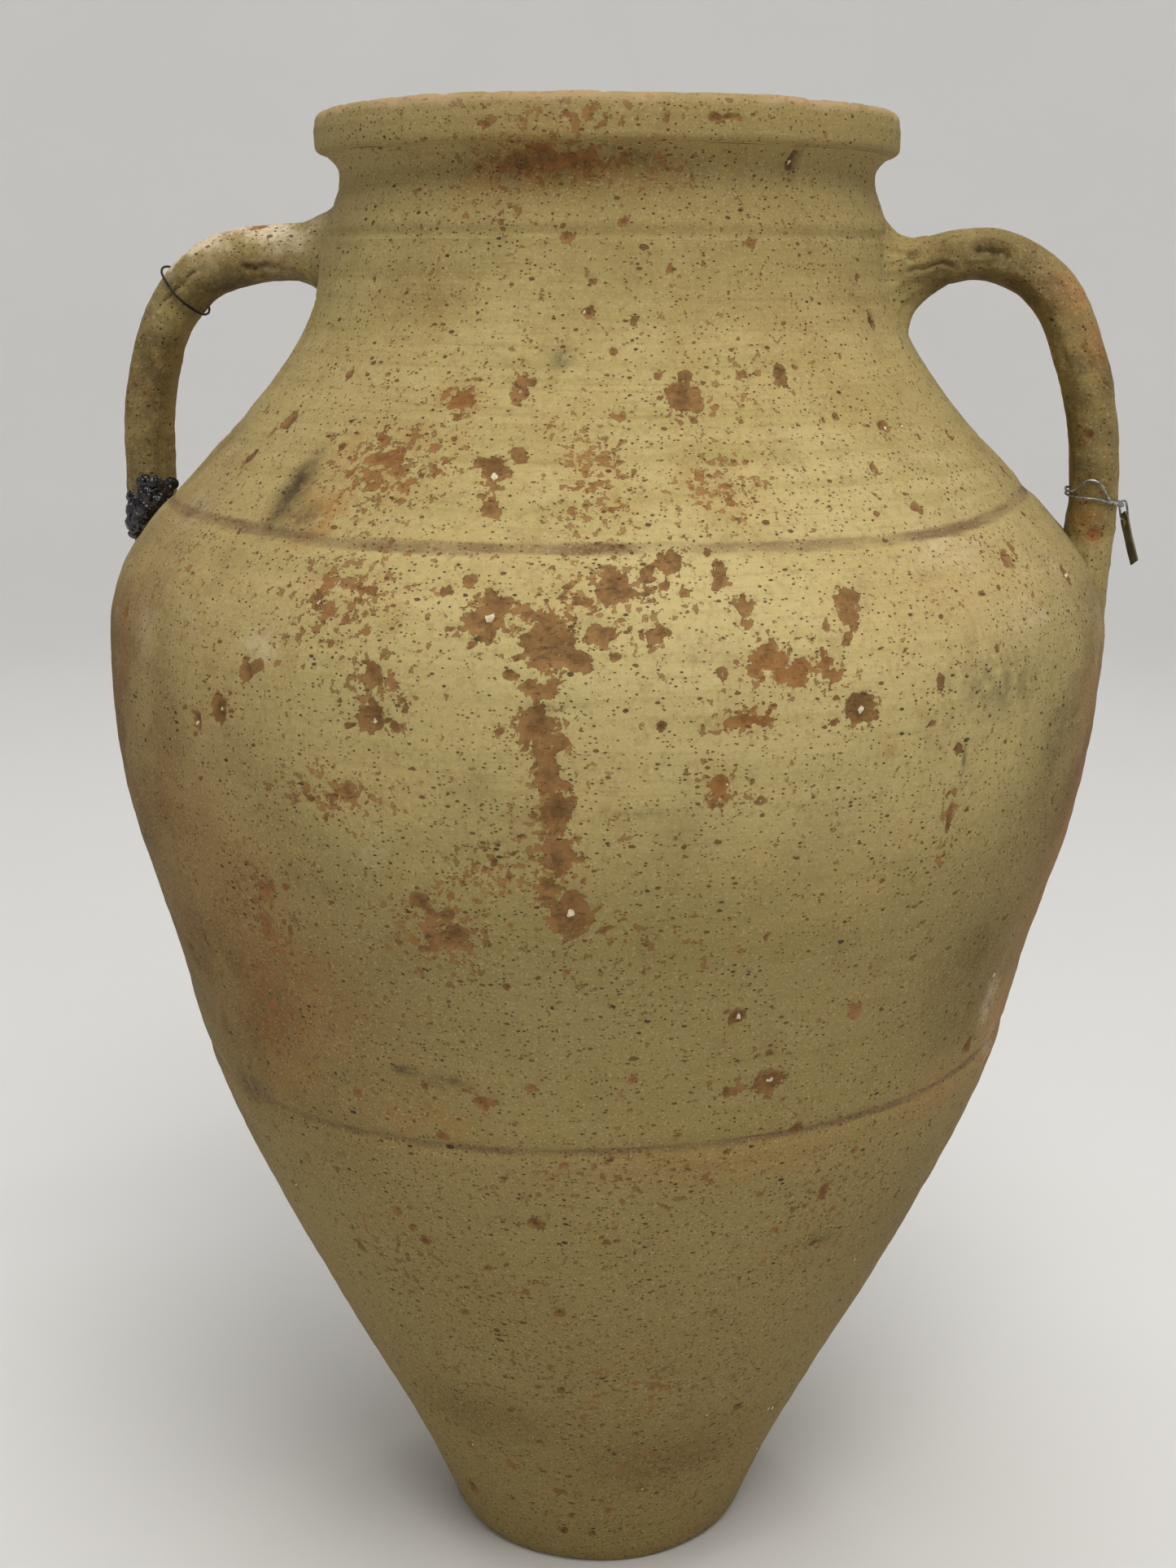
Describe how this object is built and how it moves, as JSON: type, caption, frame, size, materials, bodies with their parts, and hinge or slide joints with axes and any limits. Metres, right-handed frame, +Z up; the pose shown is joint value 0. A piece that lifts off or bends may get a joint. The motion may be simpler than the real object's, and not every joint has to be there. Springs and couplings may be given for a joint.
{
  "type": "amphora",
  "caption": "Broad-shouldered clay storage jar with a tapered body, short wide neck, thick rim and strap handles from neck to shoulder.",
  "frame": {"origin": "centre of the foot's flat underside, on the jar's axis", "axes": "+Z up the jar's axis, X through both handles with the right handle at +X, Y from front to back"},
  "size_m": [0.4323, 0.4152, 0.62],
  "materials": {
    "fired_clay": "unglazed fired clay with a dry olive-buff slip over reddish terracotta, pitted and worn",
    "dark_wire": "blackened annealed steel wire",
    "galvanised_wire": "dull galvanised steel wire",
    "eyelet_metal": "tarnished brass eyelet",
    "tag_card": "blank weathered card",
    "black_pitch": "glossy hardened pitch"
  },
  "bodies": {
    "jar": {"base_disc": "fired_clay", "lower_body": "fired_clay", "lower_seam_coil": "fired_clay", "belly": "fired_clay", "shoulder_seam_coil": "fired_clay", "shoulder": "fired_clay", "neck": "fired_clay", "rim": "fired_clay", "handle_left": "fired_clay", "handle_right": "fired_clay", "left_upper_root_clay": "fired_clay", "left_lower_root_clay": "fired_clay", "right_upper_root_clay": "fired_clay", "right_lower_root_clay": "fired_clay", "left_wire": "dark_wire", "right_wire": "galvanised_wire", "pitch_lump": "black_pitch"},
    "link": {"tag_link": "galvanised_wire"},
    "tag": {"hang_tag": "tag_card", "tag_eyelet": "eyelet_metal"}
  },
  "joints": [
    {"name": "link_swing", "type": "hinge", "parent": "jar", "child": "link", "pos_m": [0.21288, 0.00432, 0.46832], "axis": [0.1936, -0.9811, 0], "range_deg": [0, 100]},
    {"name": "tag_swing", "type": "hinge", "parent": "link", "child": "tag", "pos_m": [0.21408, 0.00456, 0.46199], "axis": [0.9631, 0.1901, 0.1908], "range_deg": [-30, 30]}
  ]
}
